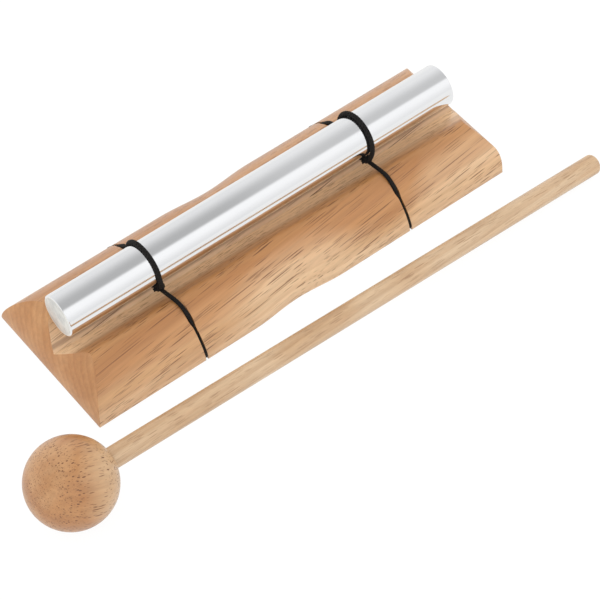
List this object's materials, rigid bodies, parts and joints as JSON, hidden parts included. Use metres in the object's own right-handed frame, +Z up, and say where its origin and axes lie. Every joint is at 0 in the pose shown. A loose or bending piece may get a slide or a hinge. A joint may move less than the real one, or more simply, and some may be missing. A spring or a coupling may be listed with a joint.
{
  "type": "chime bar",
  "caption": "Polished metal rod tied on cords over a wooden base with a V trough, struck with a wooden ball mallet that lies beside it.",
  "frame": {"origin": "middle of the base's underside, on the surface that it stands on", "axes": "+X along the rod, away from the mallet's ball; +Y away from the mallet; +Z up"},
  "size_m": [0.2491, 0.0961, 0.0368],
  "materials": {
    "wood": "clear satin lacquer over straight grain",
    "aluminium": "polished",
    "cord": "matt black braid"
  },
  "bodies": {
    "base": {"base_block": "wood", "cord_loop_left": "cord", "cord_loop_right": "cord"},
    "ties": {"cord_tie_left": "cord", "cord_tie_right": "cord"},
    "rod": {"chime_rod": "aluminium"},
    "mallet": {"mallet_ball": "wood", "mallet_stick": "wood"}
  },
  "joints": [
    {"name": "rod_bounce", "type": "slide", "parent": "base", "child": "ties", "axis": [0, 0, 1], "range_m": [-0.001, 0.001], "stiffness_N_per_m": 2500, "springref_m": 0.0004, "deforming": ["cord_loop_left", "cord_loop_right"]},
    {"name": "rod_spin", "type": "hinge", "parent": "ties", "child": "rod", "pos_m": [-0.0019, 0, 0.027], "axis": [1, 0, 0], "continuous": true},
    {"name": "mallet_lift", "type": "slide", "parent": "base", "child": "mallet", "axis": [0, 0, 1], "range_m": [0, 0.12]}
  ]
}
